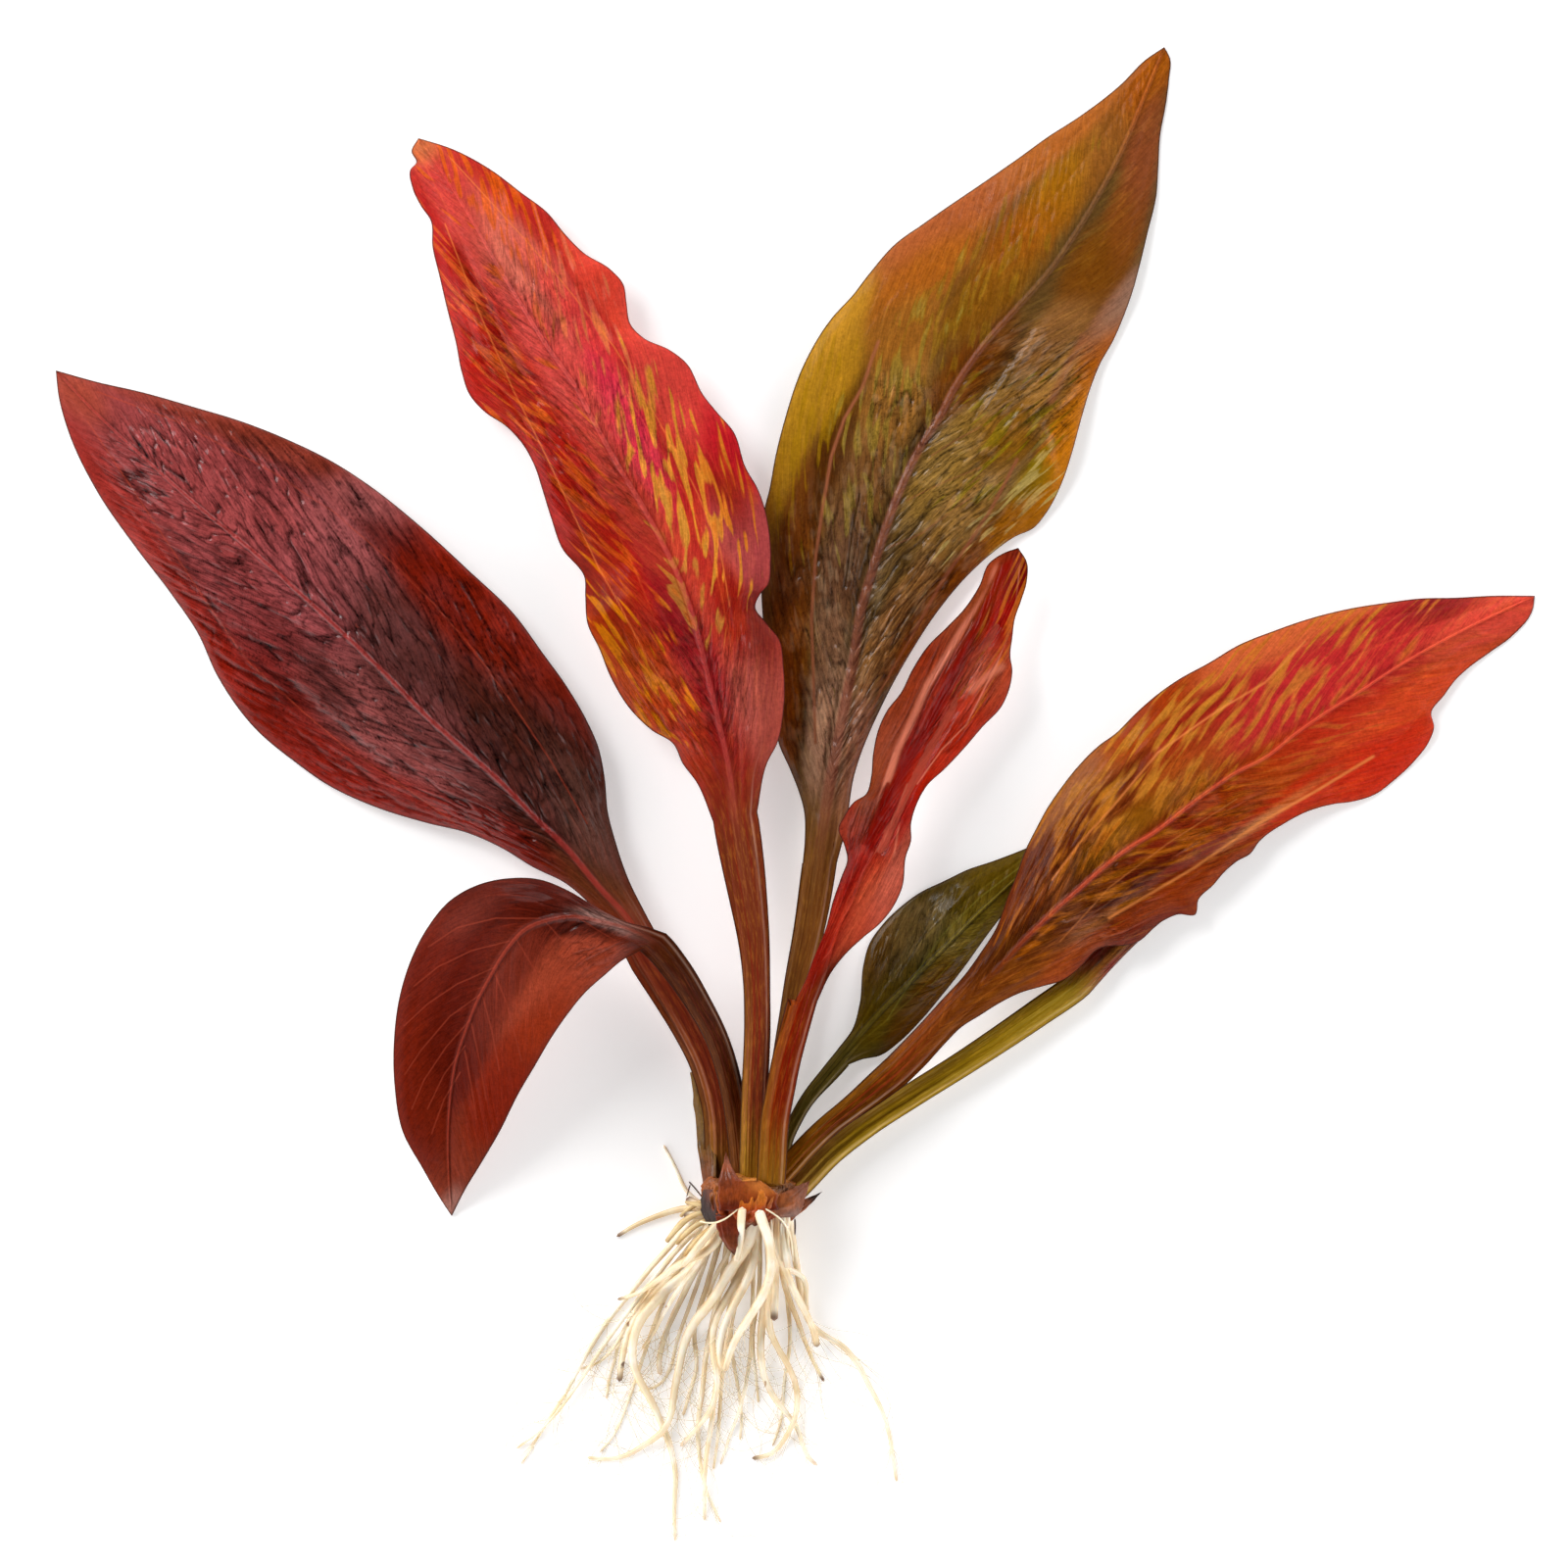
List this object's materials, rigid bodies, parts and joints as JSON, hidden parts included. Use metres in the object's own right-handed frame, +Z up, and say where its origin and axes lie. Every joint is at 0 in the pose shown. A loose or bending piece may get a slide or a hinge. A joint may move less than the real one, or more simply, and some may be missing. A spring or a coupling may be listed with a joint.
{
  "type": "amazon sword plant",
  "caption": "Bare-rooted aquarium sword plant lying flat, with long-stalked pointed leaves fanned out from a short crown over a tuft of pale roots.",
  "frame": {"origin": "centre of the bounding box in plan, on the surface that the plant lies on", "axes": "+Z up from the surface, +Y from the roots towards the leaves, +X to the right as seen from above"},
  "size_m": [0.2566, 0.2593, 0.0263],
  "materials": {
    "crown": "moist, orange-brown plant stock",
    "leaf_wine": "glossy dark wine-red leaf",
    "leaf_drooping": "glossy dark brick-red leaf",
    "leaf_red": "glossy crimson leaf",
    "leaf_olive": "wet, glossy olive-brown leaf with an orange tip",
    "leaf_young": "glossy bright red young leaf",
    "leaf_green": "glossy dark olive-green leaf",
    "leaf_right": "glossy red leaf that turns orange-brown at its base",
    "leaf_under": "glossy yellow-green petiole and leaf",
    "sheath": "dry brown scrap of old leaf sheath",
    "root": "smooth, pale cream root"
  },
  "bodies": {
    "root": {"crown": "crown", "leaf_wine": "leaf_wine", "leaf_drooping": "leaf_drooping", "leaf_red": "leaf_red", "leaf_olive": "leaf_olive", "leaf_young": "leaf_young", "leaf_green": "leaf_green", "leaf_right": "leaf_right", "leaf_under": "leaf_under", "sheath_front": "sheath", "sheath_right": "sheath", "sheath_low": "sheath", "root_01": "root", "root_02": "root", "root_03": "root", "root_04": "root", "root_05": "root", "root_06": "root", "root_07": "root", "root_08": "root", "root_09": "root", "root_10": "root", "root_11": "root", "root_12": "root", "root_13": "root", "root_14": "root", "root_15": "root", "root_16": "root", "root_17": "root", "root_18": "root", "root_19": "root", "root_20": "root", "root_21": "root", "root_22": "root", "root_23": "root", "root_24": "root", "root_25": "root", "root_26": "root", "root_27": "root", "root_28": "root", "root_29": "root", "root_30": "root", "root_31": "root", "root_32": "root", "root_33": "root", "root_34": "root", "root_35": "root", "root_36": "root", "root_37": "root", "root_38": "root"}
  },
  "joints": []
}
